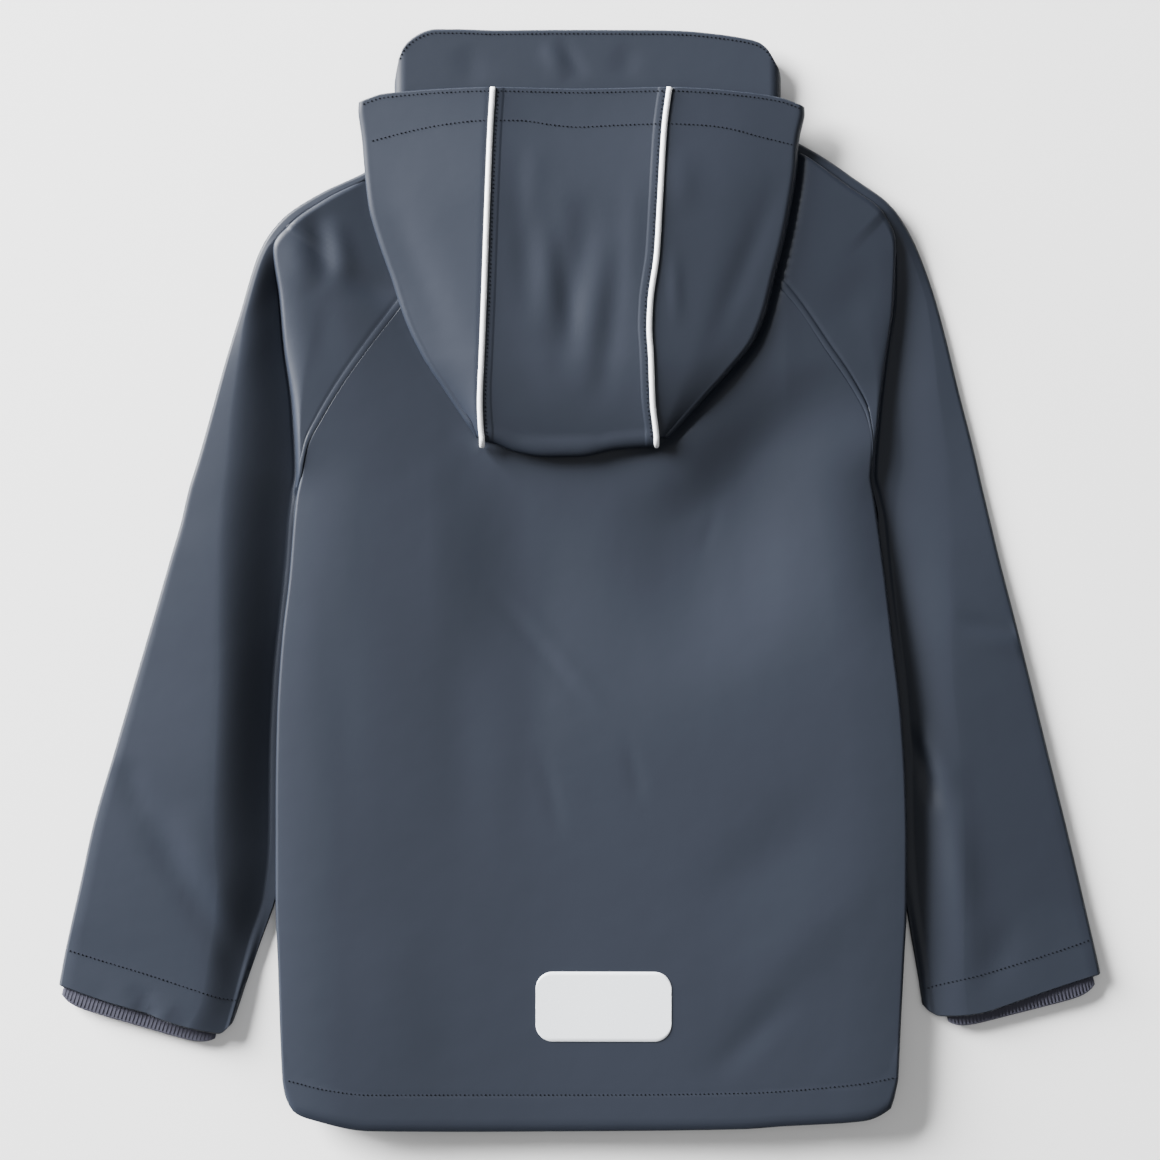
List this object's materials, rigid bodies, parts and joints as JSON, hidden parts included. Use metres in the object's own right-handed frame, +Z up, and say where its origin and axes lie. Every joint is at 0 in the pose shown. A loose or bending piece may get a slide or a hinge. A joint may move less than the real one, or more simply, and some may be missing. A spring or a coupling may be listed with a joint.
{
  "type": "kids raincoat",
  "caption": "Child's hooded raincoat with raglan sleeves, laid flat back up, hood on the back, piped hood seams, reflective patch and rib inner cuffs.",
  "frame": {"origin": "centre of the laid coat's bounding box, on the surface that it lies on", "axes": "+X towards the wearer's right, +Y from the hem to the collar, +Z up from the surface, out of the coat's back"},
  "size_m": [0.6246, 0.6599, 0.0149],
  "materials": {
    "shell": "soft satin coated cloth",
    "piping": "white reflective",
    "patch": "reflective film",
    "knit": "matte rib knit",
    "stud": "satin"
  },
  "bodies": {
    "root": {"back": "shell", "front_left": "shell", "front_right": "shell", "sleeve_left": "shell", "sleeve_right": "shell", "collar": "shell", "hood_left": "shell", "hood_centre": "shell", "hood_right": "shell", "piping_left": "piping", "piping_right": "piping", "reflective_patch": "patch", "cuff_left": "knit", "cuff_right": "knit", "press_stud_1": "stud", "press_stud_2": "stud", "press_stud_3": "stud", "press_stud_4": "stud", "press_stud_5": "stud", "press_stud_6": "stud"}
  },
  "joints": []
}
